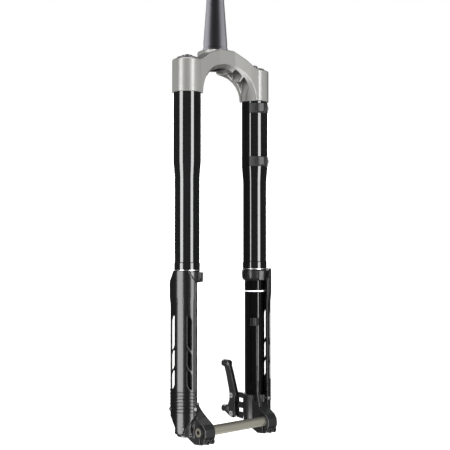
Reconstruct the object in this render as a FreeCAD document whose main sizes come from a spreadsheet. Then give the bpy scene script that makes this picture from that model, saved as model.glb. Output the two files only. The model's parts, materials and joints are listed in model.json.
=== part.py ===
import FreeCAD, Part
import Sketcher
import math
import os
import re

# An upside-down single-crown suspension fork for a mountain bike, in millimetres.
# The origin is on the steerer's axis inside the crown race seat, a short cylinder that
# stands on the crown's upper face, 5 mm below. +Z runs up the steerer, -Y points to the
# front of the bike and +X to the rider's left, which is the brake side. The upper tubes
# belong to the crown, and the slim stanchions below slide up into them with the
# dropouts, guards and axle.

LEFT = 1
RIGHT = -1
LEGS = {"left": LEFT, "right": RIGHT}

SIZES = {
    # the stance of the fork
    "leg_side": 70.75,
    "leg_ahead": 16,
    "axle_ahead": 52,
    "axle_drop": 590,
    # steerer and crown
    "steerer_length": 220,
    "steerer_base_radius": 19.05,
    "steerer_top_radius": 14.3,
    "steerer_base_bore": 16.0,
    "steerer_top_bore": 11.8,
    "taper_start": 10,
    "taper_end": 75,
    "seat_radius": 19.9,
    "seat_height": 1,
    "crown_top": -5,
    "boss_radius": 29.5,
    "boss_depth": 31,
    "socket_radius": 23,
    "socket_top": -29,
    "socket_edge": -30,
    "cap_radius": 16.5,
    "socket_bottom": -80,
    "arch_radius": 46,
    "arch_drop": 79.5,
    # upper tubes
    "upper_radius": 21.65,
    "upper_slim_radius": 19.5,
    "upper_bore": 17.3,
    "upper_top": -33,
    "upper_bottom": -352,
    "head_radius": 20.2,
    "head_top": -338,
    "seal_bore": 18.6,
    "lug_reach": 24.5,
    "seal_bore_top": -336,
    "slim_start": -185,
    "slim_end": -210,
    # seal collar, which guides the guard
    "collar_radius": 21.5,
    "collar_bottom": -369,
    # stanchions
    "stanchion_radius": 16,
    "stanchion_bore": 13.8,
    "stanchion_top": -225,
    "stanchion_bottom": -590,
    "running_gap": 0.05,
    # what works inside each leg
    "cartridge_radius": 12.5,
    "cartridge_bore": 11.3,
    "cartridge_bottom": -405,
    "plug_bottom": -50,
    "shaft_radius": 5,
    "shaft_top": -371,
    "piston_bottom": -385,
    "needle_radius": 1.5,
    # guards
    "guard_inside": 23.5,
    "guard_outside": 26,
    "guard_collar_outside": 27.3,
    "guard_top": -350,
    "guard_step": -402,
    "guard_bottom": -594,
    "guard_turn": 62,
    "guard_wrap": 108,
    # dropout castings and axle
    "casting_radius": 19,
    "casting_top": -552,
    "casting_bottom": -601,
    "casting_foot_radius": 15.5,
    "lug_inside": 55,
    "lug_width": 19.6,
    "axle_radius": 7.5,
    "axle_bore": 5,
    "axle_tip": 73.5,
    # brake mount and hose guides
    "post_spacing": 74.2,
    "post_lower_height": -581.5,
    "post_side": 57,
    "post_face": 44,
    "post_hole_radius": 3,
    "bracket_inside": 53,
    "bracket_width": 7,
    "tab_width": 4.5,
    "hose_radius": 2.75,
}

HEX_SIDES = 6
FUNCTIONS = {"sin", "cos", "tan", "deg", "mm"}
WORD = re.compile(r"[a-z][a-z_]+")

doc = FreeCAD.newDocument("suspension_fork")
sheet = doc.addObject("Spreadsheet::Sheet", "Sizes")
for row, (alias, size) in enumerate(SIZES.items(), start=1):
    sheet.set(f"A{row}", alias)
    sheet.set(f"B{row}", str(size))
    sheet.setAlias(f"B{row}", alias)
doc.recompute()

nodes = []


# ---- helpers that tie every size to the sheet ----

def linked(text):
    """The expression with each bare word turned into a reference to the sheet."""
    return WORD.sub(lambda word: word[0] if word[0] in FUNCTIONS else f"Sizes.{word[0]}", str(text))


def number(text):
    """The present value of an expression."""
    return float(sheet.evalExpression(linked(text)))


def bind(item, **sizes):
    """Sets properties of an object from expressions, such as Radius='upper_bore'."""
    for name, text in sizes.items():
        item.setExpression(name, linked(text))


def place(item, x="0", y="0", z="0", axis=(0, 0, 1), angle=0):
    """Places an object at expressions for x, y and z, turned about an axis."""
    item.Placement = FreeCAD.Placement(
        FreeCAD.Vector(number(x), number(y), number(z)),
        FreeCAD.Rotation(FreeCAD.Vector(*axis), angle))
    for letter, text in (("x", x), ("y", y), ("z", z)):
        item.setExpression(f"Placement.Base.{letter}", linked(text))


def node(item, label):
    """Marks a finished piece, whose label names its file."""
    item.Label = label
    nodes.append(item)
    return item


def leg_place(item, side, angle=0):
    """Stands a piece on a leg's axis; side 0 is the steerer's axis."""
    if side:
        place(item, x=f"{side} * leg_side", y="-leg_ahead", angle=angle)
    return item


# ---- sketches and PartDesign features ----

def new_body(name):
    return doc.addObject("PartDesign::Body", name)


def new_sketch(body, plane, offset="0"):
    """A sketch on one of the body's own origin planes, lifted by an offset."""
    sketch = body.newObject("Sketcher::SketchObject", "Outline")
    support = next(item for item in body.Origin.OriginFeatures if item.Role == plane)
    sketch.AttachmentSupport = (support, [""])
    sketch.MapMode = "FlatFace"
    sketch.setExpression("AttachmentOffset.Base.z", linked(offset))
    return sketch


def held(line, end, across, up):
    """Constraints that hold a point at two expressions, and the texts to bind to them."""
    rules = []
    texts = []
    for kind, text, axis in (("DistanceX", across, -2), ("DistanceY", up, -1)):
        value = number(text)
        if abs(value) < 1e-9:
            rules.append(Sketcher.Constraint("PointOnObject", line, end, axis))
            texts.append(None)
        else:
            rules.append(Sketcher.Constraint(kind, -1, 1, line, end, value))
            texts.append(text)
    return rules, texts


def add_outline(sketch, corners):
    """A closed run of straight lines; each corner is a pair of expressions."""
    points = [FreeCAD.Vector(number(across), number(up), 0) for across, up in corners]
    first = sketch.GeometryCount
    count = len(points)
    lines = [Part.LineSegment(points[i], points[(i + 1) % count]) for i in range(count)]
    sketch.addGeometry(lines, False)
    rules = []
    texts = []
    for i, (across, up) in enumerate(corners):
        rules.append(Sketcher.Constraint("Coincident", first + (i - 1) % count, 2, first + i, 1))
        texts.append(None)
        point_rules, point_texts = held(first + i, 1, across, up)
        rules += point_rules
        texts += point_texts
    bind_rules(sketch, rules, texts)


def add_circle(sketch, across, up, radius):
    centre = FreeCAD.Vector(number(across), number(up), 0)
    circle = sketch.addGeometry(Part.Circle(centre, FreeCAD.Vector(0, 0, 1), number(radius)), False)
    rules, texts = held(circle, 3, across, up)
    rules.append(Sketcher.Constraint("Radius", circle, number(radius)))
    texts.append(radius)
    bind_rules(sketch, rules, texts)


def bind_rules(sketch, rules, texts):
    for index, text in zip(sketch.addConstraint(rules), texts):
        if text is not None:
            sketch.setExpression(f"Constraints[{index}]", linked(text))


def add_pad(body, sketch, length, backwards=False):
    pad = body.newObject("PartDesign::Pad", "Pad")
    pad.Profile = sketch
    pad.Reversed = backwards
    bind(pad, Length=length)
    return pad


def add_pocket(body, sketch, length, backwards=False):
    """Cuts along or against the sketch's normal, and checks that something was cut."""
    doc.recompute()
    before = body.Shape.Volume
    pocket = body.newObject("PartDesign::Pocket", "Pocket")
    pocket.Profile = sketch
    pocket.Reversed = backwards
    bind(pocket, Length=length)
    doc.recompute()
    if body.Shape.Volume > before - 0.01:
        raise RuntimeError(f"{body.Name}: {pocket.Name} cut nothing")
    return pocket


def turned(name, outline, side=0, plane="XZ_Plane"):
    """A body turned about its upright axis from (radius, height) corners."""
    body = new_body(name)
    sketch = new_sketch(body, plane)
    add_outline(sketch, outline)
    revolution = body.newObject("PartDesign::Revolution", "Revolution")
    revolution.Profile = sketch
    revolution.ReferenceAxis = (sketch, ["V_Axis"])
    revolution.Angle = 360
    return leg_place(body, side)


def tube(name, bore, radius, bottom, top, side=0, edge="0.6"):
    """A turned tube with small chamfers on its outer edges."""
    return turned(name, [
        (bore, bottom), (f"{radius} - {edge}", bottom), (radius, f"{bottom} + {edge}"),
        (radius, f"{top} - {edge}"), (f"{radius} - {edge}", top), (bore, top)], side)


# ---- primitives and booleans ----

def cylinder(name, radius, height, **where):
    item = doc.addObject("Part::Cylinder", name)
    bind(item, Radius=radius, Height=height)
    place(item, **where)
    return item


def joined(name, pieces):
    item = doc.addObject("Part::MultiFuse", name)
    item.Shapes = pieces
    item.Refine = False
    return item


def cut(name, base, tool):
    item = doc.addObject("Part::Cut", name)
    item.Base = base
    item.Tool = tool
    return item


def group(name, pieces):
    """Separate solids that share one node, such as a set of screws."""
    item = doc.addObject("Part::Compound", name)
    item.Links = pieces
    return item


def screw(name, shank, length, head, head_height, socket, where):
    """A socket-head screw: its shank runs along local +Z from under the head."""
    body = cylinder(f"{name}_shank", shank, length)
    cap = cylinder(f"{name}_cap", head, head_height, z=f"-({head_height})")
    key = doc.addObject("Part::Prism", f"{name}_key")
    key.Polygon = HEX_SIDES
    bind(key, Circumradius=socket, Height=f"0.6 * {head_height}")
    place(key, z=f"-({head_height})")
    item = cut(name, joined(f"{name}_blank", [body, cap]), key)
    place(item, **where)
    return item


def around(side, degrees, radius, z):
    """A place on a leg, at a compass angle from straight ahead towards the outside."""
    angle = math.radians(degrees)
    return {
        "x": f"{side} * (leg_side + ({radius}) * {math.sin(angle):.6f})",
        "y": f"-leg_ahead - ({radius}) * {math.cos(angle):.6f}",
        "z": z,
    }


def facing(side, degrees):
    """The unit vector, lying flat, at that same compass angle."""
    angle = math.radians(degrees)
    return FreeCAD.Vector(side * math.sin(angle), -math.cos(angle), 0)


def aim(item, direction):
    """Turns an object so that its own +Z looks along a direction."""
    turn = FreeCAD.Rotation(FreeCAD.Vector(0, 0, 1), direction)
    item.Placement = FreeCAD.Placement(item.Placement.Base, turn)
    return item


# ---- crown ----

ARM_TOP = [("14", "crown_top"), ("26", "-10.5"), ("36", "-15"), ("46", "-21.5"), ("55", "-27"),
           ("leg_side", "socket_edge")]
ARM_FRONT = [("16", "-boss_radius"), ("48", "-35"), ("leg_side", "-leg_ahead - socket_radius + 1")]
ARM_REAR = [("leg_side", "-leg_ahead + 17"), ("46", "-6"), ("36", "-1"), ("28", "4"), ("18", "14")]
# each hollow's inner and outer side with the height of its roof there, its front and its depth
ARM_HOLLOWS = (("20", "-17", "33", "-23", "26", "21"), ("36", "-25", "46.5", "-32", "28", "17"))


def mirrored(corners):
    """The same run of corners on the other side, so that the two halves close."""
    return [(f"-({across})", up) for across, up in reversed(corners)]


def crown():
    """One forging: a boss for the steerer, two arms and a socket for each upper tube."""
    body = new_body("crown_body")
    front = new_sketch(body, "XZ_Plane", "-29")
    half = ARM_TOP + [("leg_side", "socket_bottom"), ("arch_radius", "socket_bottom")]
    turns = [math.radians(turn) for turn in range(80, -90, -10)]
    arch = [(f"arch_radius * {math.sin(turn):.6f}", f"-arch_drop + arch_radius * {math.cos(turn):.6f}")
            for turn in turns]
    add_outline(front, half + arch + mirrored(half))
    add_pad(body, front, "69")
    # the arms narrow from the boss and sweep forward to the sockets
    plan = new_sketch(body, "XY_Plane", "1")
    add_outline(plan, [("-100", "-60"), ("100", "-60"), ("100", "50"), ("-100", "50")])
    add_outline(plan, ARM_FRONT + ARM_REAR + mirrored(ARM_FRONT + ARM_REAR))
    add_pocket(body, plan, "100")
    boss = new_sketch(body, "XY_Plane", "-boss_depth")
    add_circle(boss, "0", "0", "boss_radius - 1")
    add_pad(body, boss, "boss_depth + crown_top")
    for side in LEGS.values():
        add_socket(body, side)
    bore = new_sketch(body, "XY_Plane", "seat_height")
    add_circle(bore, "0", "0", "steerer_base_radius")
    add_pocket(body, bore, "seat_height + boss_depth + 10")
    for side in LEGS.values():
        cap_hole = new_sketch(body, "XY_Plane", "1")
        add_circle(cap_hole, f"{side} * leg_side", "-leg_ahead", "cap_radius")
        add_pocket(body, cap_hole, "40")
        tube_bore = new_sketch(body, "XY_Plane", "socket_bottom")
        add_circle(tube_bore, f"{side} * leg_side", "-leg_ahead", "upper_radius")
        add_pocket(body, tube_bore, "upper_top - socket_bottom", backwards=True)
        # each arm is hollowed from below, between a front and a rear wall with a rib between
        for inner, inner_top, outer, outer_top, ahead, depth in ARM_HOLLOWS:
            hollow = new_sketch(body, "XZ_Plane", ahead)
            add_outline(hollow, [
                (f"{side} * {inner}", inner_top), (f"{side} * {outer}", outer_top),
                (f"{side} * {outer}", "socket_bottom"), (f"{side} * {inner}", "socket_bottom")])
            add_pocket(body, hollow, depth)
    # the arch opens wider towards the front, which leaves a broad chamfer
    flare = doc.addObject("Part::Cone", "arch_flare")
    bind(flare, Radius1="arch_radius", Radius2="arch_radius + 12", Height="20")
    place(flare, y="-20", z="-arch_drop", axis=(1, 0, 0), angle=90)
    node(cut("crown", body, flare), "crown")


def add_socket(body, side):
    """A round socket with small chamfers at its ends."""
    sketch = new_sketch(body, "XZ_Plane", "leg_ahead")
    rim = [("0", "socket_bottom"), ("socket_radius - 0.5", "socket_bottom"),
           ("socket_radius", "socket_bottom + 0.5"), ("socket_radius", "socket_top - 1"),
           ("socket_radius - 1", "socket_top"), ("0", "socket_top")]
    add_outline(sketch, [(f"{side} * (leg_side + {out})", height) for out, height in rim])
    centre = number(f"{side} * leg_side")
    low = number("socket_bottom")
    high = number("socket_top")
    line = Part.LineSegment(FreeCAD.Vector(centre, low, 0), FreeCAD.Vector(centre, high, 0))
    sketch.addGeometry(line, True)
    sketch.addConstraint([
        Sketcher.Constraint("Coincident", len(rim), 1, 0, 1),
        Sketcher.Constraint("Coincident", len(rim), 2, len(rim) - 1, 1)])
    turning = body.newObject("PartDesign::Revolution", "Socket")
    turning.Profile = sketch
    turning.ReferenceAxis = (sketch, ["Axis0"])
    turning.Angle = 360
    return turning


def steerer():
    node(turned("steerer_body", [
        ("steerer_base_bore", "-boss_depth"), ("steerer_base_radius", "-boss_depth"),
        ("steerer_base_radius", "crown_top"), ("seat_radius", "crown_top"),
        ("seat_radius", "seat_height"), ("steerer_base_radius", "seat_height + 0.6"),
        ("steerer_base_radius", "taper_start"), ("steerer_top_radius", "taper_end"),
        ("steerer_top_radius", "steerer_length - 1"), ("steerer_top_radius - 1", "steerer_length"),
        ("steerer_top_bore", "steerer_length"), ("steerer_top_bore", "taper_end"),
        ("steerer_base_bore", "taper_start")]), "steerer_tube")


# ---- upper tubes, seals and bushings ----

def upper_tube(leg, side):
    node(turned(f"upper_{leg}", [
        ("upper_bore", "upper_top"), ("upper_radius", "upper_top"),
        ("upper_radius", "slim_start"), ("upper_slim_radius", "slim_end"),
        ("upper_slim_radius", "head_top"), ("head_radius", "head_top - 1"),
        ("head_radius", "upper_bottom + 1"), ("head_radius - 0.6", "upper_bottom"),
        ("seal_bore", "upper_bottom"), ("seal_bore", "seal_bore_top"),
        ("upper_bore", "seal_bore_top")], side), f"upper_tube_{leg}")


LUG_ANGLE = {"left": -15, "right": -32}


def collar(leg, side):
    """Threads on below the seals; a square lug beside it carries its clamp bolt."""
    ring = turned(f"collar_body_{leg}", [
        ("seal_bore", "upper_bottom"), ("collar_radius - 0.4", "upper_bottom"),
        ("collar_radius", "upper_bottom - 0.6"), ("collar_radius", "collar_bottom + 4"),
        ("collar_radius - 2.5", "collar_bottom"), ("stanchion_radius + 0.8", "collar_bottom"),
        ("stanchion_radius + 0.8", "collar_bottom + 2.5"), ("seal_bore", "collar_bottom + 2.5")], side)
    lug = new_sketch(ring, "XY_Plane", "collar_bottom + 1")
    add_outline(lug, [("-4.5", "-19.2"), ("4.5", "-19.2"), ("4.5", "-lug_reach"), ("-4.5", "-lug_reach")])
    add_pad(ring, lug, "15")
    leg_place(ring, side, side * LUG_ANGLE[leg])
    node(ring, f"seal_collar_{leg}")


def ring_in_leg(label, leg, side, outside, bottom, top):
    """A seal, ring or bushing that the stanchion slides through."""
    bore = "stanchion_radius + running_gap"
    node(tube(f"{label}_{leg}_body", bore, outside, bottom, top, side, edge="0.2"), f"{label}_{leg}")


def seals(leg, side):
    ring_in_leg("upper_bushing", leg, side, "upper_bore", "-255", "-235")
    ring_in_leg("lower_bushing", leg, side, "upper_bore", "-335.5", "-315")
    ring_in_leg("foam_ring", leg, side, "seal_bore", "-341", "-336.2")
    ring_in_leg("oil_seal", leg, side, "seal_bore", "-349", "-341.2")
    ring_in_leg("dust_wiper", leg, side, "seal_bore", "collar_bottom + 2.7", "upper_bottom - 0.2")
    clip = turned(f"retaining_{leg}", [
        ("seal_bore - 1.2", "upper_bottom + 0.2"), ("seal_bore", "upper_bottom + 0.2"),
        ("seal_bore", "upper_bottom + 1.4"), ("seal_bore - 1.2", "upper_bottom + 1.4")], side)
    node(clip, f"retaining_ring_{leg}")


# ---- damper in the right leg ----

def damper():
    side = RIGHT
    node(turned("damper_cap", [
        ("needle_radius + running_gap", "-25.5"), ("cap_radius - 0.8", "-25.5"), ("cap_radius", "-26.3"),
        ("cap_radius", "plug_bottom"),
        ("cartridge_bore", "plug_bottom"), ("cartridge_bore", "plug_bottom - 8"),
        ("needle_radius + running_gap", "plug_bottom - 8")], side), "top_cap_right")
    node(turned("low_speed_body", [
        ("0", "-21"), ("4.4", "-21"), ("5", "-21.6"), ("5", "-25.2"),
        ("needle_radius", "-25.2"), ("needle_radius", "-96"), ("0", "-98")], side), "low_speed_dial")
    node(tube("high_speed_body", "5.3", "9.4", "-25.2", "-22.4", side), "high_speed_dial")
    node(turned("compression_body", [
        ("needle_radius + running_gap", "plug_bottom - 8"), ("5", "plug_bottom - 8"), ("5", "-84"),
        ("cartridge_bore", "-84"), ("cartridge_bore", "-94"),
        ("needle_radius + running_gap", "-94")], side), "compression_valve")
    node(tube("damper_tube_body", "cartridge_bore", "cartridge_radius", "cartridge_bottom", "plug_bottom",
              side), "damper_cartridge")
    seal_head("damper", side)
    node(turned("damper_shaft_body", [
        ("3", "stanchion_bottom + 8"), ("3", "shaft_top"), ("shaft_radius", "shaft_top"),
        ("shaft_radius", "stanchion_bottom + 8"), ("stanchion_bore", "stanchion_bottom + 8"),
        ("stanchion_bore", "stanchion_bottom"), ("4", "stanchion_bottom"),
        ("4", "stanchion_bottom + 8")], side), "damper_shaft")
    node(turned("damper_piston_body", [
        ("shaft_radius", "piston_bottom"), ("cartridge_bore - running_gap", "piston_bottom"),
        ("cartridge_bore - running_gap", "piston_bottom + 12"), ("shaft_radius", "piston_bottom + 12")],
        side), "damper_piston")
    foot_bolt("right", side)
    # the rebound dial sits in the foot bolt's counterbore, with its needle up the bolt
    node(turned("rebound_body", [
        ("0", "casting_bottom + 0.3"), ("4.8", "casting_bottom + 0.3"), ("4.8", "casting_bottom + 3.3"),
        ("2", "casting_bottom + 3.3"), ("2", "casting_bottom + 26"), ("0", "casting_bottom + 27")], side),
        "rebound_dial")


def seal_head(kind, side):
    """Closes the cartridge's lower end and guides the shaft."""
    bore = "shaft_radius + running_gap"
    node(turned(f"{kind}_head_body", [
        (bore, "cartridge_bottom - 4"), ("cartridge_radius", "cartridge_bottom - 4"),
        ("cartridge_radius", "cartridge_bottom"), ("cartridge_bore", "cartridge_bottom"),
        ("cartridge_bore", "cartridge_bottom + 12"), (bore, "cartridge_bottom + 12")], side),
        f"{kind}_seal_head")


def foot_bolt(leg, side):
    """Screws up through the casting's floor into the shaft's foot."""
    node(turned(f"foot_bolt_body_{leg}", [
        ("2.05", "casting_bottom + 3.7"), ("6.5", "casting_bottom + 3.7"), ("6.5", "casting_bottom + 8"),
        ("4", "casting_bottom + 8"), ("4", "stanchion_bottom + 7.5"),
        ("2.05", "stanchion_bottom + 7.5")], side), f"foot_bolt_{leg}")


# ---- air spring in the left leg ----

def air_spring():
    side = LEFT
    node(turned("air_cap", [
        ("4", "-25.5"), ("cap_radius - 0.8", "-25.5"), ("cap_radius", "-26.3"),
        ("cap_radius", "plug_bottom"),
        ("cartridge_bore", "plug_bottom"), ("cartridge_bore", "plug_bottom - 8"),
        ("4", "plug_bottom - 8")], side), "top_cap_left")
    node(turned("valve_body", [
        ("needle_radius + running_gap", "-22.8"), ("3.6", "-22.8"), ("4", "-23.4"),
        ("4", "plug_bottom - 8"), ("needle_radius + running_gap", "plug_bottom - 8")], side),
        "air_valve_stem")
    node(turned("valve_pin_body", [
        ("0", "-22.6"), ("1.2", "-22.6"), ("needle_radius", "-23.2"), ("needle_radius", "plug_bottom - 4"),
        ("0", "plug_bottom - 4")], side), "air_valve_pin")
    node(turned("valve_cap_body", [
        ("0", "-19.6"), ("4.4", "-19.6"), ("5.4", "-20.6"), ("5.4", "-25.2"), ("4.3", "-25.2"),
        ("4.3", "-21.6"), ("0", "-21.6")], side), "air_valve_cap")
    node(tube("air_tube_body", "cartridge_bore", "cartridge_radius", "cartridge_bottom", "plug_bottom",
              side), "air_cartridge")
    spacers = [tube(f"spacer_{turn}", "5.5", "9.5", f"plug_bottom - {18 + 10 * turn}",
                    f"plug_bottom - {8.2 + 10 * turn}", side) for turn in range(2)]
    node(group("spacer_stack", spacers), "volume_spacers")
    seal_head("air", side)
    node(turned("air_shaft_body", [
        ("0", "stanchion_bottom + 20"), ("0", "shaft_top"), ("shaft_radius", "shaft_top"),
        ("shaft_radius", "stanchion_bottom + 8"), ("stanchion_bore", "stanchion_bottom + 8"),
        ("stanchion_bore", "stanchion_bottom"), ("4", "stanchion_bottom"),
        ("4", "stanchion_bottom + 20")], side), "air_shaft")
    node(turned("air_piston_body", [
        ("shaft_radius", "piston_bottom"), ("cartridge_bore - running_gap", "piston_bottom"),
        ("cartridge_bore - running_gap", "piston_bottom + 12"), ("shaft_radius", "piston_bottom + 12")],
        side), "air_piston")
    node(tube("top_out_body", "shaft_radius", "9.5", "piston_bottom - 6.5", "piston_bottom", side),
         "top_out_bumper")
    node(tube("bottom_out_body", "shaft_radius", "10", "stanchion_bottom + 8", "-572", side),
         "bottom_out_bumper")
    foot_bolt("left", side)


# ---- stanchions, guards and dropouts ----

def stanchion(leg, side):
    node(tube(f"stanchion_body_{leg}", "stanchion_bore", "stanchion_radius", "stanchion_bottom",
              "stanchion_top", side), f"stanchion_{leg}")


SLOT_ROWS = ((-420, -464), (-472, -494), (-502, -523))
RIB_TOP = -529
RIB_PITCH = 5
RIB_COUNT = 7
GUARD_SCREWS = ((-50, "-557"), (-9, "-585.5"), (50, "-559"))


def guard_outline():
    """The guard's section, out from the stanchion: a step near the top and a ribbed foot."""
    outline = [("-guard_inside", "guard_top"), ("-guard_collar_outside + 0.8", "guard_top")]
    outline += [("-guard_collar_outside", "guard_top - 1"), ("-guard_collar_outside", "guard_step + 12")]
    outline += [("-guard_outside", "guard_step")]
    for rib in range(RIB_COUNT):
        height = RIB_TOP - RIB_PITCH * rib
        outline += [("-guard_outside", str(height)), ("-guard_outside - 0.7", f"{height - 0.8}")]
        outline += [("-guard_outside - 0.7", f"{height - 2.6}"), ("-guard_outside", f"{height - 3.4}")]
    outline += [("-guard_outside", "guard_bottom"), ("-guard_inside", "guard_bottom")]
    return outline


def guard(leg, side):
    """A moulded half shell; in its own frame its middle faces -Y."""
    body = new_body(f"guard_body_{leg}")
    sketch = new_sketch(body, "YZ_Plane")
    add_outline(sketch, guard_outline())
    shell = body.newObject("PartDesign::Revolution", "Shell")
    shell.Profile = sketch
    shell.ReferenceAxis = (sketch, ["V_Axis"])
    shell.Midplane = True
    bind(shell, Angle="guard_wrap")
    openings = new_sketch(body, "XZ_Plane")
    for hand in (1, -1):
        # two columns of raked windows
        for top, bottom in SLOT_ROWS:
            add_outline(openings, [
                (f"{hand} * 10.4", str(top + 2)), (f"{hand} * 13", str(top + 2)),
                (f"{hand} * 16.4", str(top - 5)), (f"{hand} * 16.4", str(bottom - 5)),
                (f"{hand} * 14", str(bottom - 5)), (f"{hand} * 10.4", str(bottom + 2))])
        # the top corners are cut back, and the foot runs down to a point
        add_outline(openings, [
            (f"{hand} * 11", "guard_top + 2"), (f"{hand} * 30", "guard_top + 2"),
            (f"{hand} * 30", "guard_top - 30"), (f"{hand} * 20.6", "guard_top - 17")])
        add_outline(openings, [
            (f"{hand} * 24", "-562"), (f"{hand} * 40", "-562"), (f"{hand} * 40", "guard_bottom - 6"),
            (f"{hand} * 3.5", "guard_bottom - 6"), (f"{hand} * 3.5", "guard_bottom")])
    add_pocket(body, openings, "40", backwards=True)
    leg_place(body, side, side * number("guard_turn"))
    holes = []
    for count, (turn, height) in enumerate(GUARD_SCREWS):
        holes.append(screw_hole(f"guard_hole_{leg}_{count}", side, turn, height, "1.7", "20"))
        holes.append(screw_hole(f"spot_face_{leg}_{count}", side, turn, height, "2.6", "guard_outside"))
    node(cut(f"guard_{leg}", body, joined(f"guard_holes_{leg}", holes)), f"stanchion_guard_{leg}")


def guard_compass(turn):
    """A guard screw's compass angle on its leg."""
    return number("guard_turn") + turn


def screw_hole(name, side, turn, height, radius, start):
    hole = cylinder(name, radius, "12", **around(side, guard_compass(turn), start, height))
    return aim(hole, facing(side, guard_compass(turn)))


def guard_screws():
    screws = []
    for leg, side in LEGS.items():
        for count, (turn, height) in enumerate(GUARD_SCREWS):
            place_at = around(side, guard_compass(turn), "guard_outside + 0.1", height)
            item = screw(f"guard_screw_{leg}_{count}", "1.5", "5", "2.3", "1.6", "0.9", place_at)
            screws.append(aim(item, -facing(side, guard_compass(turn))))
    node(group("guard_screw_set", screws), "guard_screws")


def arm_profile(body, side):
    """The dropout's side view, from the socket forward to the axle and its pinch block."""
    start = "lug_inside" if side > 0 else "-lug_inside"
    arm = new_sketch(body, "YZ_Plane", start)
    add_outline(arm, [
        ("-leg_ahead - 10", "casting_top - 3"), ("-33", "-562.5"), ("-46", "-571.5"), ("-58", "-579.1"),
        ("-63.4", "-586"), ("-64", "-596"), ("-60.5", "-604.5"), ("-54", "-609.5"), ("-38", "-610.5"),
        ("-28", "-606"), ("-leg_ahead", "-599.5"), ("-leg_ahead + 10", "casting_top - 40")])
    add_pad(body, arm, "lug_width", backwards=side < 0)
    return start


PINCH_PLACES = (60, 69)


def dropout(leg, side):
    """A forged dropout: a socket for the stanchion, a seat for the guard and the axle lug."""
    body = new_body(f"dropout_body_{leg}")
    start = arm_profile(body, side)
    steps = (("casting_bottom + 4", "casting_radius"), ("casting_bottom", "casting_foot_radius"))
    for bottom, radius in steps:
        socket = new_sketch(body, "XY_Plane", bottom)
        add_circle(socket, f"{side} * leg_side", "-leg_ahead", radius)
        add_pad(body, socket, f"casting_top - ({bottom})")
    if side == LEFT:
        add_brake_tab(body)
    # stanchion bore, then the foot bolt's hole and counterbore from below
    for bottom, radius, depth in (
            ("stanchion_bottom", "stanchion_radius", "60"), ("casting_bottom - 12", "4", "30"),
            ("casting_bottom - 12", "7", "20")):
        hole = new_sketch(body, "XY_Plane", bottom)
        add_circle(hole, f"{side} * leg_side", "-leg_ahead", radius)
        add_pocket(body, hole, depth, backwards=True)
    # axle bore with the pinch slot below it
    axle_hole = new_sketch(body, "YZ_Plane", start)
    add_circle(axle_hole, "-axle_ahead", "-axle_drop", "axle_radius + running_gap")
    add_pocket(body, axle_hole, "lug_width + 2", backwards=side > 0)
    slot = new_sketch(body, "YZ_Plane", start)
    add_outline(slot, [
        ("-axle_ahead - 1", "-axle_drop - 6"), ("-axle_ahead + 1", "-axle_drop - 6"),
        ("-axle_ahead + 1", "-axle_drop - 24"), ("-axle_ahead - 1", "-axle_drop - 24")])
    add_pocket(body, slot, "lug_width + 2", backwards=side > 0)
    for across in PINCH_PLACES:
        pinch = new_sketch(body, "XZ_Plane", "68")
        add_circle(pinch, f"{side} * {across}", "-axle_drop - 13.6", "2.5")
        add_pocket(body, pinch, "28")
        head = new_sketch(body, "XZ_Plane", "68")
        add_circle(head, f"{side} * {across}", "-axle_drop - 13.6", "4.4")
        add_pocket(body, head, "8.5")
    # a shallow diamond between the socket and the axle lightens the lug's outer face
    recess = new_sketch(body, "YZ_Plane", f"{side} * (lug_inside + lug_width)")
    add_outline(recess, [
        ("-39.5", "-570"), ("-41.8", "-590"), ("-40", "-601"), ("-36", "-602"), ("-34.8", "-590")])
    add_pocket(body, recess, "1.5", backwards=side < 0)
    seat = guard_seat(leg, side)
    whole = joined(f"dropout_whole_{leg}", [body, seat])
    holes = [screw_hole(f"seat_hole_{leg}_{count}", side, turn, height, "1.5", "guard_outside - 4.9")
             for count, (turn, height) in enumerate(GUARD_SCREWS)]
    node(cut(f"dropout_{leg}", whole, joined(f"seat_holes_{leg}", holes)), f"dropout_{leg}")


def guard_seat(leg, side):
    """Stands the guard off the socket: a sector as wide as the guard, pointed at its foot."""
    body = new_body(f"seat_body_{leg}")
    sketch = new_sketch(body, "YZ_Plane")
    add_outline(sketch, [
        ("-casting_radius + 1", "casting_top - 1"), ("-casting_radius - 1", "casting_top - 1"),
        ("-guard_inside + 0.02", "casting_top - 4.5"), ("-guard_inside + 0.02", "guard_bottom + 1"),
        ("-casting_radius + 1", "guard_bottom - 2")])
    sector = body.newObject("PartDesign::Revolution", "Sector")
    sector.Profile = sketch
    sector.ReferenceAxis = (sketch, ["V_Axis"])
    sector.Midplane = True
    bind(sector, Angle="guard_wrap - 1")
    foot = new_sketch(body, "XZ_Plane")
    for hand in (1, -1):
        add_outline(foot, [
            (f"{hand} * 22", "-563"), (f"{hand} * 40", "-563"), (f"{hand} * 40", "guard_bottom - 6"),
            (f"{hand} * 3", "guard_bottom - 6"), (f"{hand} * 3", "guard_bottom + 1")])
    add_pocket(body, foot, "40", backwards=True)
    return leg_place(body, side, side * number("guard_turn"))


TAB_BOLTS = (-557.5, -587)
TAB_WINDOWS = (("-561", "-568"), ("-577.5", "-584"))


def add_brake_tab(body):
    """A ladder of two rungs and a post behind the left casting, for the brake bracket."""
    tab = new_sketch(body, "YZ_Plane", "bracket_inside + bracket_width")
    add_outline(tab, [
        ("-8", "casting_top - 0.5"), ("22", "casting_top - 0.5"), ("25", "casting_top - 3"),
        ("25", "-590"), ("22", "-593"), ("-8", "-595.5")])
    for top, bottom in TAB_WINDOWS:
        add_outline(tab, [("0", top), ("13.2", top), ("13.2", bottom), ("0", bottom)])
    for height in TAB_BOLTS:
        add_circle(tab, "18.8", str(height), "2.5")
    add_pad(body, tab, "tab_width")


POSTS = ("post_lower_height + post_spacing", "post_lower_height")


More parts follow.
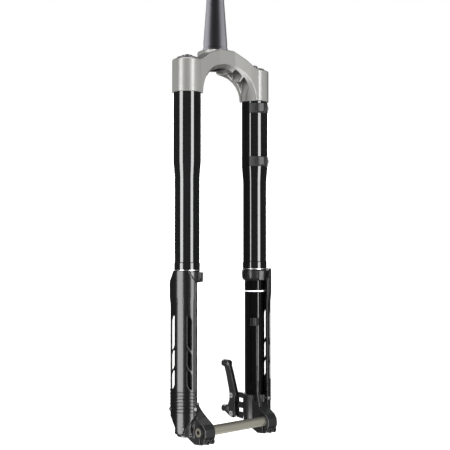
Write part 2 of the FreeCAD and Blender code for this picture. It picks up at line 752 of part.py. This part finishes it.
def bracket():
    """The forged post mount: a long upper arm, a short lower one, and a bolted foot."""
    body = new_body("bracket_body")
    plate = new_sketch(body, "YZ_Plane", "bracket_inside")
    add_outline(plate, [
        ("12", "-550"), ("9.6", "-556"), ("13", "-561"), ("13", "-584"), ("10", "-590"), ("16", "-594"),
        ("24", "-593"), ("30", "-590"), ("36", "post_lower_height - 5"), ("36", "post_lower_height + 5"),
        ("29.5", "-573"), ("26.5", "-566"), ("26", "-554"), ("28.5", "-544"), ("34.5", "-523"),
        ("39", "-511"), ("39", "post_lower_height + post_spacing - 4.4"),
        ("39", "post_lower_height + post_spacing + 6"), ("31", "post_lower_height + post_spacing + 6"),
        ("28", "post_lower_height + post_spacing + 2"), ("22.5", "-519"), ("16", "-538")])
    for height in TAB_BOLTS:
        add_circle(plate, "18.8", str(height), "2.6")
    add_pad(body, plate, "bracket_width")
    for height in POSTS:
        post = new_sketch(body, "XZ_Plane", "-post_face")
        add_circle(post, "post_side", height, "6")
        add_pad(body, post, "15")
    for height in POSTS:
        hole = new_sketch(body, "XZ_Plane", "-post_face")
        add_circle(hole, "post_side", height, "post_hole_radius")
        add_pocket(body, hole, "12", backwards=True)
    node(body, "brake_bracket")
    bolts = []
    for count, height in enumerate(TAB_BOLTS):
        item = screw(f"bracket_bolt_{count}", "2.5", "bracket_width + tab_width - 1", "4.2", "3", "2.2",
                     {"x": "bracket_inside", "y": "18.8", "z": str(height)})
        bolts.append(aim(item, FreeCAD.Vector(1, 0, 0)))
    node(group("bracket_bolt_set", bolts), "bracket_bolts")


def pinch_bolts():
    bolts = []
    for leg, side in LEGS.items():
        for count, across in enumerate(PINCH_PLACES):
            item = screw(f"pinch_{leg}_{count}", "2.5", "18", "4.2", "4", "2.2",
                         {"x": f"{side} * {across}", "y": "-59.5", "z": "-axle_drop - 13.6"})
            bolts.append(aim(item, FreeCAD.Vector(0, 1, 0)))
    node(group("pinch_bolt_set", bolts), "axle_pinch_bolts")


# ---- axle ----

def axle():
    """A hollow 15 mm axle that goes in from the rider's right; a washer stays under its head."""
    start = "-lug_inside - lug_width - 4.1"
    rod = cylinder("axle_rod", "axle_radius", f"axle_tip - ({start})", x=start, y="-axle_ahead",
                   z="-axle_drop")
    head = cylinder("axle_head", "9.4", "2.4", x=start, y="-axle_ahead", z="-axle_drop")
    bore = cylinder("axle_hollow", "axle_bore", "200", x="-lug_inside - lug_width + 8", y="-axle_ahead",
                    z="-axle_drop")
    key = doc.addObject("Part::Prism", "axle_key")
    key.Polygon = HEX_SIDES
    bind(key, Circumradius="3.5", Height="20")
    place(key, x="-lug_inside - lug_width - 6", y="-axle_ahead", z="-axle_drop")
    for item in (rod, head, bore, key):
        aim(item, FreeCAD.Vector(1, 0, 0))
    blank = joined("axle_blank", [rod, head])
    node(cut("axle", blank, joined("axle_inside", [bore, key])), "through_axle")
    outer = cylinder("washer_disc", "9.4", "1", x="-lug_inside - lug_width - 1.4", y="-axle_ahead",
                     z="-axle_drop")
    inner = cylinder("washer_hole", "axle_radius + running_gap", "3", x="-lug_inside - lug_width - 2",
                     y="-axle_ahead", z="-axle_drop")
    for item in (outer, inner):
        aim(item, FreeCAD.Vector(1, 0, 0))
    node(cut("washer", outer, inner), "axle_washer")


def travel_ring():
    """A thin rubber band on the left stanchion that shows how far the fork has moved."""
    node(tube("travel_ring_body", "stanchion_radius + running_gap", "17.3", "-387", "-385", LEFT,
              edge="0.3"), "travel_ring")


# ---- brake hose guides on the left leg ----

CLIP_HEIGHTS = {"upper": -91, "lower": -177}
CLIP_ANGLE = -20
CLIP_WRAP = 92
CLIP_HALF_HEIGHT = 8


def hose_clip(name, height):
    """A saddle on the upper tube with a small clamp that holds the brake hose."""
    body = new_body(f"clip_body_{name}")
    sketch = new_sketch(body, "YZ_Plane")
    low = f"{height - CLIP_HALF_HEIGHT}"
    high = f"{height + CLIP_HALF_HEIGHT}"
    add_outline(sketch, [
        ("-upper_radius", low), ("-upper_radius - 1", low), ("-upper_radius - 1.6", f"{low} + 0.6"),
        ("-upper_radius - 1.6", f"{high} - 0.6"), ("-upper_radius - 1", high), ("-upper_radius", high)])
    saddle = body.newObject("PartDesign::Revolution", "Saddle")
    saddle.Profile = sketch
    saddle.ReferenceAxis = (sketch, ["V_Axis"])
    saddle.Midplane = True
    saddle.Angle = CLIP_WRAP
    block = new_sketch(body, "XY_Plane", f"{height - CLIP_HALF_HEIGHT + 1.5}")
    add_outline(block, [
        ("-5.5", "-upper_radius + 0.2"), ("-6.5", "-upper_radius - 5"), ("-4.5", "-upper_radius - 8"),
        ("3", "-upper_radius - 9"), ("6.5", "-upper_radius - 6"), ("6.5", "-upper_radius + 0.2")])
    add_pad(body, block, "13")
    clear = new_sketch(body, "XY_Plane", low)
    add_circle(clear, "0", "0", "upper_radius")
    add_pocket(body, clear, "20", backwards=True)
    channel = new_sketch(body, "XY_Plane", low)
    add_circle(channel, "0", "-upper_radius - 4.9", "hose_radius")
    add_pocket(body, channel, "20", backwards=True)
    leg_place(body, LEFT, CLIP_ANGLE)
    node(body, f"hose_clip_{name}")


def clip_screws():
    screws = []
    for name, height in CLIP_HEIGHTS.items():
        place_at = around(LEFT, CLIP_ANGLE + 34, "upper_radius + 1.7", str(height))
        item = screw(f"clip_screw_{name}", "1.2", "1.6", "3", "1.8", "1.1", place_at)
        screws.append(aim(item, -facing(LEFT, CLIP_ANGLE + 34)))
    return screws


def hose_guide():
    """A blade from the left dropout up the front of the stanchion, with a clip at its top."""
    body = new_body("guide_body")
    blade = new_sketch(body, "YZ_Plane", "lug_inside")
    add_outline(blade, [
        ("-34.4", "-430"), ("-37.6", "-430"), ("-37.9", "-500"), ("-39", "-551"), ("-35", "-551"),
        ("-34.6", "-500")])
    add_pad(body, blade, "3")
    foot = new_sketch(body, "YZ_Plane", "lug_inside")
    add_outline(foot, [
        ("-34.9", "-548"), ("-38.9", "-548"), ("-44", "-570.05"), ("-34", "-563.13")])
    add_pad(body, foot, "6")
    block = new_sketch(body, "XY_Plane", "-440")
    add_outline(block, [
        ("lug_inside - 7.6", "-31"), ("lug_inside - 7.6", "-38"), ("lug_inside - 5.6", "-40"),
        ("lug_inside + 2", "-40"), ("lug_inside + 3.5", "-38"), ("lug_inside + 3.5", "-35.2"),
        ("lug_inside - 0.7", "-31")])
    add_pad(body, block, "12")
    channel = new_sketch(body, "XY_Plane", "-442")
    add_circle(channel, "lug_inside - 3.1", "-35.6", "hose_radius")
    add_pocket(body, channel, "16", backwards=True)
    node(body, "hose_guide")


# ---- the whole fork ----

crown()
steerer()
for leg, side in LEGS.items():
    upper_tube(leg, side)
    collar(leg, side)
    seals(leg, side)
    stanchion(leg, side)
    guard(leg, side)
    dropout(leg, side)
damper()
air_spring()
guard_screws()
bracket()
pinch_bolts()
axle()
travel_ring()
for name, height in CLIP_HEIGHTS.items():
    hose_clip(name, height)
node(group("clip_screw_set", clip_screws()), "hose_clip_screws")
hose_guide()
doc.recompute()

# ---- check every object, then write one file for each piece ----

for item in doc.Objects:
    if "Invalid" in item.State or "Error" in item.State:
        raise RuntimeError(f"{item.Name} ({item.Label}) failed: {item.State}")
for item in nodes:
    if item.Shape.isNull() or not item.Shape.isValid() or not item.Shape.Solids:
        raise RuntimeError(f"{item.Label} has no valid shape")

os.makedirs("parts", exist_ok=True)
for item in nodes:
    item.Shape.exportStep(f"parts/{item.Label}.step")
print(len(nodes), "pieces")
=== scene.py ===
# %% [markdown]
# # An upside-down suspension fork, dressed for the studio
# The engineering model is already built: every tube, seal, bolt and bearing surface
# arrives as a fixed frame of meshes. Here we give each part its real finish, rebuild the
# forged and moulded parts with soft edges, and set up light, floor and camera.

# %% Load the frame
import json
import math
import bpy
import bmesh
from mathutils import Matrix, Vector


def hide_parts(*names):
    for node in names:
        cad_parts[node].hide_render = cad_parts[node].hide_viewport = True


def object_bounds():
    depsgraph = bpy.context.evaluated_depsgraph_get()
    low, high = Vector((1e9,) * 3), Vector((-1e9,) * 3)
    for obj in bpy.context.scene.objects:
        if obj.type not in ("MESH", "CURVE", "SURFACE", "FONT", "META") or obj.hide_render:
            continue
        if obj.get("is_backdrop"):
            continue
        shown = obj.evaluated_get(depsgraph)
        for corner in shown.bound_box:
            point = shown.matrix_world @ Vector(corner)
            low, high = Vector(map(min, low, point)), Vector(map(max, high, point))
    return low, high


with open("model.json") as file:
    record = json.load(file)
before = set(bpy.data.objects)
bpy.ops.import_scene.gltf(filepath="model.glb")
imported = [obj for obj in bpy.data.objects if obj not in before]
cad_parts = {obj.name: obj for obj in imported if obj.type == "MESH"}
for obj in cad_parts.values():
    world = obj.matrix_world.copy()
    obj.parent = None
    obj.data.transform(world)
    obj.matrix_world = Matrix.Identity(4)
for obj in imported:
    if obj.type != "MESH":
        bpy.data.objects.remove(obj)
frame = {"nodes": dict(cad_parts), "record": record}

cad_box = [list(corner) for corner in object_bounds()]
nodes = frame["nodes"]
print(len(nodes), "parts in the frame")

# %% [markdown]
# ## Camera
# The fork is long and narrow, so a short telephoto lens from about one and a half metres
# keeps its legs straight. It stands ahead of the fork and to the rider's right, a little
# below the middle, which shows the underside of the crown and both dropouts.

# %% Camera
CAMERA_PLACE = Vector((-0.9368, -1.0777, -0.3128))
CAMERA_LOOK = Vector((0.66402, 0.74736, 0.02285))
LENS = 71.9
SENSOR = 36

camera_data = bpy.data.cameras.new("camera")
camera_data.lens = LENS
camera_data.sensor_width = SENSOR
camera = bpy.data.objects.new("camera", camera_data)
camera.location = CAMERA_PLACE
camera.rotation_mode = "QUATERNION"
camera.rotation_quaternion = CAMERA_LOOK.to_track_quat("-Z", "Y")
bpy.context.scene.collection.objects.link(camera)
bpy.context.scene.camera = camera
print("camera", round(CAMERA_PLACE.length, 3), "m from the crown, lens", LENS, "mm")

# %% [markdown]
# ## Room and floor
# A studio for glossy parts is a white sweep of paper in a dim room: the paper is what the
# camera sees, the dark room is what the parts mirror. The background could be a painted
# wall, but a world that is bright to the camera and dim to everything else does the same
# without reflecting in the tubes. The floor lies well below the hanging fork, as pale as
# the background, and is left out of the reflections for the same reason.

# %% Room
ROOM_LIGHT = 0.08
PAPER_WHITE = 1.0
scene = bpy.context.scene
scene.view_settings.view_transform = "Standard"
world = bpy.data.worlds.new("studio")
scene.world = world
world.use_nodes = True
air = world.node_tree
air.nodes.clear()


def backdrop(strength):
    """A pale background of one brightness."""
    shader = air.nodes.new("ShaderNodeBackground")
    shader.inputs["Color"].default_value = (1.0, 1.0, 1.0, 1.0)
    shader.inputs["Strength"].default_value = strength
    return shader.outputs[0]


rays = air.nodes.new("ShaderNodeLightPath")
choice = air.nodes.new("ShaderNodeMixShader")
result = air.nodes.new("ShaderNodeOutputWorld")
air.links.new(rays.outputs["Is Camera Ray"], choice.inputs[0])
air.links.new(backdrop(ROOM_LIGHT), choice.inputs[1])
air.links.new(backdrop(PAPER_WHITE), choice.inputs[2])
air.links.new(choice.outputs[0], result.inputs[0])
print("room", ROOM_LIGHT, "to the parts,", PAPER_WHITE, "to the camera")

# %% Floor
FLOOR_DROP = 0.35
FLOOR_RADIUS = 40
FLOOR_SIDES = 96
lowest = cad_box[0][2]
floor_mesh = bpy.data.meshes.new("floor")
shape = bmesh.new()
bmesh.ops.create_circle(shape, cap_ends=True, segments=FLOOR_SIDES, radius=FLOOR_RADIUS)
shape.to_mesh(floor_mesh)
shape.free()
floor = bpy.data.objects.new("floor", floor_mesh)
floor.location = (0, 0, lowest - FLOOR_DROP)
floor.visible_glossy = False
floor.visible_shadow = False
scene.collection.objects.link(floor)
floor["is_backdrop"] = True
print("floor at", round(floor.location.z, 3), "m")

# %% [markdown]
# ## A small kit for finishes
# Every coat on the fork is a little uneven: paint pools, anodising drifts, blasting leaves
# a grain. Painted maps would need unwrapping and would smear on the long tubes, so the
# finishes are worked out from a point's place in the fork's own frame. A wire stands for
# one value at every point of the surface, and sums on wires build the nodes.

# %% Sums on wires


class Wire:
    """A socket's value, so that shader maths reads as plain arithmetic."""

    def __init__(self, finish, socket):
        self.finish = finish
        self.socket = socket

    def _maths(self, kind, first, second):
        return self.finish.node("ShaderNodeMath", {"operation": kind}, {0: first, 1: second})

    def __add__(self, other):
        return self._maths("ADD", self, other)

    def __radd__(self, other):
        return self._maths("ADD", other, self)

    def __sub__(self, other):
        return self._maths("SUBTRACT", self, other)

    def __rsub__(self, other):
        return self._maths("SUBTRACT", other, self)

    def __mul__(self, other):
        return self._maths("MULTIPLY", self, other)

    def __rmul__(self, other):
        return self._maths("MULTIPLY", other, self)

    def __gt__(self, other):
        return self._maths("GREATER_THAN", self, other)

    def __lt__(self, other):
        return self._maths("LESS_THAN", self, other)

    def __pow__(self, other):
        return self._maths("POWER", self, other)


print("wires take + - * ** > and <")

# %% A finish and its nodes


class Finish:
    """A material being built: its shader's own constants, and nodes for what varies."""

    def __init__(self, name, **constants):
        self.material = bpy.data.materials.new(name)
        self.material.use_nodes = True
        self.tree = self.material.node_tree
        self.shader = self.tree.nodes["Principled BSDF"]
        for socket, value in constants.items():
            self.shader.inputs[socket.replace("_", " ")].default_value = value

    def node(self, kind, settings=None, inputs=None, output=0):
        """Adds a node: settings first, then values or wires for its sockets."""
        made = self.tree.nodes.new(kind)
        for name, value in (settings or {}).items():
            setattr(made, name, value)
        for name, value in (inputs or {}).items():
            self._feed(made.inputs[name], value)
        return Wire(self, made.outputs[output])

    def _feed(self, socket, value):
        if isinstance(value, Wire):
            self.tree.links.new(value.socket, socket)
        else:
            socket.default_value = value

    def drive(self, socket, wire):
        """Feeds one of the shader's own sockets."""
        self._feed(self.shader.inputs[socket], wire)

    def place(self):
        """Where a point is in the fork's own frame, as three wires."""
        point = self.node("ShaderNodeTexCoord", output="Object")
        return [self.node("ShaderNodeSeparateXYZ", {}, {"Vector": point}, axis) for axis in "XYZ"]

    def grain(self, scale, detail=4.0):
        """Soft noise in the fork's own frame, from 0 to 1."""
        where = self.node("ShaderNodeTexCoord", output="Object")
        return self.node("ShaderNodeTexNoise", {}, {"Vector": where, "Scale": scale, "Detail": detail})

    def blend(self, factor, first, second):
        """Mixes two colours."""
        return self.node("ShaderNodeMix", {"data_type": "RGBA"}, {
            "Factor": factor, 6: first, 7: second}, output=2)

    def bump(self, height, strength):
        """Fine relief, up to a fifth of a millimetre deep at full strength."""
        relief = self.node("ShaderNodeBump", {}, {
            "Height": height, "Strength": strength, "Distance": 0.0002})
        self.drive("Normal", relief)


def rgb(red, green, blue):
    return (red, green, blue, 1)


print("a finish can:", [name for name in vars(Finish) if not name.startswith("_")])

# %% [markdown]
# ## Bare and anodised metal
# The crown is forged aluminium, machined, blasted and clear anodised: a soft warm grey
# with no sharp reflections. The steerer is the same alloy in a darker grey. Both are fully
# metallic with a broad highlight; the colour drifts slowly and the grain is fine. Steel
# bolts are brighter and smoother, and the bronze bushings are the same recipe in yellow.

# %% Metals


def metal(name, light, dark, roughness, spread):
    """A metal whose colour and roughness drift a little, with a fine blasted grain."""
    finish = Finish(name, Metallic=1.0)
    cloud = finish.grain(18, detail=3)
    finish.drive("Base Color", finish.blend(cloud, rgb(*dark), rgb(*light)))
    fine = finish.grain(900, detail=2)
    finish.drive("Roughness", fine * spread + cloud * spread + (roughness - spread))
    finish.bump(fine, 0.05)
    return finish.material


crown_alloy = metal("crown_alloy", (0.60, 0.595, 0.575), (0.54, 0.535, 0.515), 0.40, 0.04)
graphite = metal("graphite_alloy", (0.22, 0.215, 0.235), (0.18, 0.175, 0.195), 0.42, 0.04)
steel = metal("bright_steel", (0.72, 0.72, 0.71), (0.6, 0.6, 0.6), 0.25, 0.05)
bronze = metal("bushing_bronze", (0.5, 0.38, 0.2), (0.4, 0.3, 0.16), 0.4, 0.05)
print("metals:", crown_alloy.name, graphite.name, steel.name, bronze.name)

# %% [markdown]
# ## Black coats, rubber and plastic
# The slim sliding tubes are hard anodised and almost mirror-like, the forged dropouts
# are satin black with a fine die texture, the collars sit between. Seals and bumpers are
# rubber, dull all over. All are one recipe with its own gloss and grain for each coat; a
# clear coat on top would be another way, but these coats have no clear layer.

# %% Black coats


def drift(shade):
    """The two ends of a near-black's drift: the light end is a touch bluer."""
    low = rgb(shade * 0.8, shade * 0.8, shade * 0.85)
    high = rgb(shade * 1.2, shade * 1.2, shade * 1.3)
    return low, high


def black(name, shade, roughness, spread, grain_size=600, relief=0.04, **more):
    """A black coating: its depth and gloss vary slightly over the part."""
    finish = Finish(name, **more)
    cloud = finish.grain(14, detail=3)
    finish.drive("Base Color", finish.blend(cloud, *drift(shade)))
    fine = finish.grain(grain_size, detail=2)
    finish.drive("Roughness", fine * spread + (roughness - spread * 0.5))
    finish.bump(fine, relief)
    return finish.material


stanchion_black = black("stanchion_black", 0.003, 0.10, 0.02, relief=0.0)
collar_black = black("collar_black", 0.006, 0.26, 0.06)
forged_black = black("forged_black", 0.006, 0.34, 0.08, grain_size=1200, relief=0.15)
black_steel = black("black_steel", 0.01, 0.35, 0.06)
clip_plastic = black("clip_plastic", 0.012, 0.45, 0.08, Specular_IOR_Level=0.35)
rubber = black("seal_rubber", 0.012, 0.65, 0.1)
white_rubber = black("white_rubber", 0.8, 0.6, 0.05)
print("sliding tubes", stanchion_black.name, "| forgings", forged_black.name, "| seals", rubber.name)

# %% [markdown]
# ## Black parts with a bright band
# The axle is turned on a lathe after coating: its head keeps its black rim round a
# machined face. The upper tube has a thin bright metal band at its head, just above the
# seal collar. It is a painted highlight that stands for the line of light along the
# collar's top edge. Separate rings would leave a seam, so each part has one material that
# goes from coat to bright metal by height or by distance from the axle's line.

# %% Coated and machined, with a painted highlight band
# height and half width of the upper tube's painted highlight band, a bright metal line that stands for
# light on the collar's top edge
HEAD_LINE = -0.3501
HIGHLIGHT_HALF_WIDTH = 0.0006
AXLE_AT = (-0.052, -0.59)
AXLE_FACE = 0.0066
AXLE_HEAD = -0.0755


def bright_metal_where(finish, mask, light, dark, coat_rough, bare_rough):
    """Black where the mask is 0 and bright bare metal where it is 1: a machined face on the axle, a
    painted highlight band on the upper tube.
    """
    cloud = finish.grain(20, detail=3)
    bare = finish.blend(cloud, rgb(*[0.9 * shade for shade in light]), rgb(*light))
    coat = finish.blend(cloud, *drift(dark))
    finish.drive("Base Color", finish.blend(mask, coat, bare))
    finish.drive("Metallic", mask)
    finish.drive("Roughness", cloud * 0.02 + mask * (bare_rough - coat_rough) + coat_rough)
    return finish.material


# the upper tube's head gets a thin bright metal band just above its collar: a painted highlight for
# the line of light along the collar's top edge
tube_finish = Finish("gloss_black")
height = tube_finish.place()[2]
painted_highlight_band = (height > HEAD_LINE - HIGHLIGHT_HALF_WIDTH) * (height < HEAD_LINE + HIGHLIGHT_HALF_WIDTH)
gloss_black = bright_metal_where(tube_finish, painted_highlight_band, (0.75, 0.75, 0.74), 0.003, 0.05, 0.3)

# the axle's head is black round a bright machined face
axle_finish = Finish("axle_end")
across, along, height = axle_finish.place()
reach = ((along - AXLE_AT[0]) ** 2.0 + (height - AXLE_AT[1]) ** 2.0) ** 0.5
rim = (reach > AXLE_FACE) * (across < AXLE_HEAD)
axle_alloy = bright_metal_where(axle_finish, 1.0 - rim, (0.47, 0.45, 0.385), 0.004, 0.3, 0.45)
print("bare ring at", HEAD_LINE, "m, axle's line at", AXLE_AT)

# %% [markdown]
# ## Guard plastic
# The guards are moulded nylon, glossy from a polished die. It is the black recipe again
# with a weaker reflection, since nylon bends light less than a hard anodised coat, and a
# grain so fine that it only softens the edges of what the guard mirrors.

# %% Guards' finish
guard_plastic = black("guard_plastic", 0.002, 0.19, 0.05, grain_size=1500, Specular_IOR_Level=0.3)
print("guards:", guard_plastic.name)

# %% [markdown]
# ## Forged and moulded parts
# A forging leaves its die with soft edges, and so does a moulding. The crown, dropouts,
# brake bracket, collars, guards and hose clips are such parts. Rounding each edge by hand
# would miss the places where many faces meet, so each is rebuilt from its engineering
# shape: wrapped in a fine even skin, relaxed so that every edge rounds over, then thinned
# where it is flat. The rounding is half a millimetre to a millimetre, the crown's most.

# %% Skin, relax and thin


def remade(piece, *steps):
    """Gives a piece the mesh that its modifiers make: each step is a kind and its settings."""
    for kind, settings in steps:
        change = piece.modifiers.new(kind, kind)
        for name, value in settings.items():
            setattr(change, name, value)
    shape = bpy.data.meshes.new_from_object(piece.evaluated_get(bpy.context.evaluated_depsgraph_get()))
    piece.modifiers.clear()
    piece.data = shape


def softened(name, skin, rounds, keep, carve=None):
    """A part's own shape with rounded edges, riding in its place."""
    source = nodes[name]
    piece = source.copy()
    piece.data = source.data.copy()
    piece.name = name + "_soft"
    scene.collection.objects.link(piece)
    wrap = ("REMESH", {"mode": "VOXEL", "voxel_size": skin})
    remade(piece, wrap, ("SMOOTH", {"factor": 0.5, "iterations": rounds}))
    if carve:
        carve(piece.data)
    remade(piece, ("DECIMATE", {"ratio": keep}))
    piece.data.shade_smooth()
    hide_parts(name)
    return piece


print("steps: an even skin, smoothing, thinning")

# %% [markdown]
# ## Guard lines
# Each guard has a fine raised line a little inside each long edge. It stands at a
# fixed angle round the leg from the guard's middle. Relief in the material would be
# lost on the bare mesh, so the skin's points near that angle are moved outward, as a
# rounded ridge half a millimetre high, before the skin is thinned.

# %% Guard lines
LEG_AT = Vector((0.07075, -0.016))
GUARD_FACE = 0.0255
GUARD_MIDDLE = math.radians(62)
GUARD_LINE = math.radians(47)
LINE_WIDTH = 0.0011
LINE_HEIGHT = 0.0005


def guard_lines(shape):
    """Raises the two fine lines along a guard's outer face."""
    for point in shape.vertices:
        side = math.copysign(1, point.co.x)
        out = Vector((point.co.x * side, point.co.y)) - LEG_AT
        turn = math.atan2(out.x, -out.y)
        off_line = (abs(turn - GUARD_MIDDLE) - GUARD_LINE) * out.length
        if out.length > GUARD_FACE and abs(off_line) < LINE_WIDTH:
            rise = LINE_HEIGHT * math.cos(0.5 * math.pi * off_line / LINE_WIDTH)
            way = out.normalized() * rise
            point.co.x += side * way.x
            point.co.y += way.y


print("lines", round(math.degrees(GUARD_LINE)), "degrees either side of the guard's middle")

# %% The soft pieces
SOFT = {
    "crown": (0.0008, 10, 0.35),
    "dropout_left": (0.0006, 4, 0.3),
    "dropout_right": (0.0006, 4, 0.3),
    "stanchion_guard_left": (0.0005, 3, 0.25, guard_lines),
    "stanchion_guard_right": (0.0005, 3, 0.25, guard_lines),
    "brake_bracket": (0.0005, 4, 0.3),
    "seal_collar_left": (0.0005, 3, 0.3),
    "seal_collar_right": (0.0005, 3, 0.3),
    "hose_clip_upper": (0.0005, 3, 0.3),
    "hose_clip_lower": (0.0005, 3, 0.3),
    "hose_guide": (0.0005, 3, 0.3),
}
soft = {name: softened(name, *settings) for name, settings in SOFT.items()}
for name, piece in soft.items():
    print(name, len(piece.data.polygons), "faces")

# %% [markdown]
# ## Dressing the parts
# Each piece carries the name of what it is made of. That name picks its finish; four
# pieces differ from their neighbours of the same metal, so they are named one by one. The
# floor's paper is not quite even either.

# %% Dress the parts
SLOT_FINISH = {
    "crown_alloy": crown_alloy,
    "graphite_alloy": graphite,
    "gloss_black": gloss_black,
    "collar_black": collar_black,
    "stanchion_black": stanchion_black,
    "forged_black": forged_black,
    "guard_plastic": guard_plastic,
    "clip_plastic": clip_plastic,
    "seal_rubber": rubber,
    "foam": rubber,
    "white_rubber": white_rubber,
    "steel": steel,
    "axle_alloy": axle_alloy,
    "bushing_bronze": bronze,
    "inner_alloy": steel,
    "shaft_steel": steel,
    "spacer_plastic": clip_plastic,
    "dial_black": collar_black,
    "dial_silver": steel,
}
PART_FINISH = {
    "axle_pinch_bolts": black_steel,
    "axle_washer": collar_black,
    "top_cap_left": graphite,
    "top_cap_right": graphite,
}
for row in frame["record"]["subparts"]:
    piece = soft.get(row["node"], nodes[row["node"]])
    piece.data.materials.clear()
    piece.data.materials.append(PART_FINISH.get(row["node"], SLOT_FINISH[row["material_slot"]]))

pale = Finish("floor", Roughness=0.9)
pale.drive("Base Color", pale.blend(pale.grain(0.6), rgb(0.9, 0.9, 0.9), rgb(0.93, 0.93, 0.93)))
floor.data.materials.append(pale.material)

# %% [markdown]
# ## Light
# Polished black tubes show nothing but what they mirror, so tall narrow softboxes draw
# the bright lines down each leg. The pale crown would burn out under them, so it has
# gentler boxes of its own, and the steerer is lit from both sides. The guards and the
# sliding tubes curve differently from the upper tubes, so each has boxes whose width
# gives its own line. In a studio the same is done with flags and grids; here a light is
# linked to the pieces that it may reach.

# %% A softbox


def softbox(name, turn, width, height, power, group, distance=2.0, middle=-0.3, lift=0):
    """An area light, turned about the fork from the camera's side and lifted, for some pieces."""
    back = Vector((-CAMERA_LOOK.x, -CAMERA_LOOK.y, 0)).normalized()
    angle = math.radians(turn)
    way = Vector((
        back.x * math.cos(angle) - back.y * math.sin(angle),
        back.x * math.sin(angle) + back.y * math.cos(angle), 0))
    rise = math.radians(lift)
    way = way * math.cos(rise) + Vector((0, 0, math.sin(rise)))
    data = bpy.data.lights.new(name, "AREA")
    data.shape = "RECTANGLE"
    data.size = width
    data.size_y = height
    data.energy = power
    lamp = bpy.data.objects.new(name, data)
    lamp.location = Vector((0, 0, middle)) + way * distance
    lamp.rotation_mode = "QUATERNION"
    lamp.rotation_quaternion = (-way).to_track_quat("-Z", "Y")
    scene.collection.objects.link(lamp)
    lamp.light_linking.receiver_collection = group


print("a softbox faces the fork's axis from any turn and lift")

# %% Which parts each light reaches


def receivers(name, pieces):
    """A group of pieces that a light may reach."""
    group = bpy.data.collections.new(name)
    for piece in pieces:
        group.objects.link(piece)
    return group


def piece_of(name):
    """The soft piece where there is one, and the frame's own otherwise."""
    return soft.get(name, nodes[name])


STEERER = ["steerer_tube"]
SHY = ["stanchion_left", "stanchion_right"]
GUARDS = ["stanchion_guard_left", "stanchion_guard_right"]
PALE = ["crown", "through_axle", "guard_screws", "bracket_bolts", "top_cap_left", "top_cap_right"]
DARK = [name for name in nodes if name not in STEERER + PALE + SHY + GUARDS]
dark_group = receivers("dark_parts", [piece_of(name) for name in DARK])
guard_group = receivers("guards", [piece_of(name) for name in GUARDS])
shy_group = receivers("stanchions", [piece_of(name) for name in SHY])
pale_group = receivers("pale_parts", [piece_of(name) for name in PALE])
steerer_group = receivers("steerer_part", [piece_of(name) for name in STEERER])
floor_group = receivers("floor_part", [floor])
print(len(DARK), "dark parts,", len(PALE), "pale parts")

# %% Softboxes
TALL = 3.4
softbox("left_strip", -47, 0.9, TALL, 145, dark_group)
softbox("right_strip", 43.5, 0.8, TALL, 130, dark_group)
softbox("rear_strip_left", -158, 0.6, TALL, 60, dark_group)
softbox("rear_strip_right", 166, 0.5, TALL, 50, dark_group)
softbox("pale_left", -47, 0.5, TALL, 18, pale_group)
softbox("pale_right", 43.5, 0.5, TALL, 18, pale_group)
softbox("pale_front", 0, 3.0, 4.0, 12, pale_group)
softbox("pale_side_left", -110, 2.6, TALL, 13, pale_group)
softbox("pale_side_right", 95, 2.6, TALL, 14, pale_group)
softbox("pale_top", 0, 2.0, 2.0, 20, pale_group, distance=1.6, middle=0.0, lift=75)
softbox("pale_below", 0, 1.4, 1.4, 9, pale_group, distance=1.3, middle=0.0, lift=-80)
softbox("pale_front_dark", 0, 3.0, 4.0, 2, dark_group)
softbox("guard_left", -43, 1.35, TALL, 215, guard_group)
softbox("guard_right", 43.5, 1.3, TALL, 200, guard_group)
softbox("guard_rear", -158, 0.6, TALL, 60, guard_group)
softbox("stanchion_line", 43.5, 0.3, TALL, 34, shy_group)
softbox("stanchion_rear", 166, 0.4, TALL, 30, shy_group)
softbox("steerer_left", -100, 2.6, 2.0, 34, steerer_group, distance=1.6, middle=0.1)
softbox("steerer_right", 90, 2.4, 2.0, 26, steerer_group, distance=1.6, middle=0.1)

# %% [markdown]
# ## Floor light
# The floor's paper needs its own light to stay as pale as the background. A low strip
# would streak it, so a broad sky-like sun lights the floor alone, and it is so wide that
# the fork throws no visible shadow.

# %% Floor light
sun = bpy.data.lights.new("floor_light", "SUN")
sun.energy = 5.0
sun.angle = math.radians(120)
sun_lamp = bpy.data.objects.new("floor_light", sun)
scene.collection.objects.link(sun_lamp)
sun_lamp.light_linking.receiver_collection = floor_group
print("floor light", round(math.degrees(sun.angle)), "degrees wide")

# %% [markdown]
# ## Sizes
# The dressed fork must still be the engineered one, so both boxes are written down: the
# frame's as it was loaded, and that of the finished model.

# %% Sizes
visual_box = [list(corner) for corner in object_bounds()]
for name, box in (("engineered", cad_box), ("dressed", visual_box)):
    print(name, [[round(value, 4) for value in corner] for corner in box])

# %% [markdown]
# ## Finish
# Nothing is left to build.
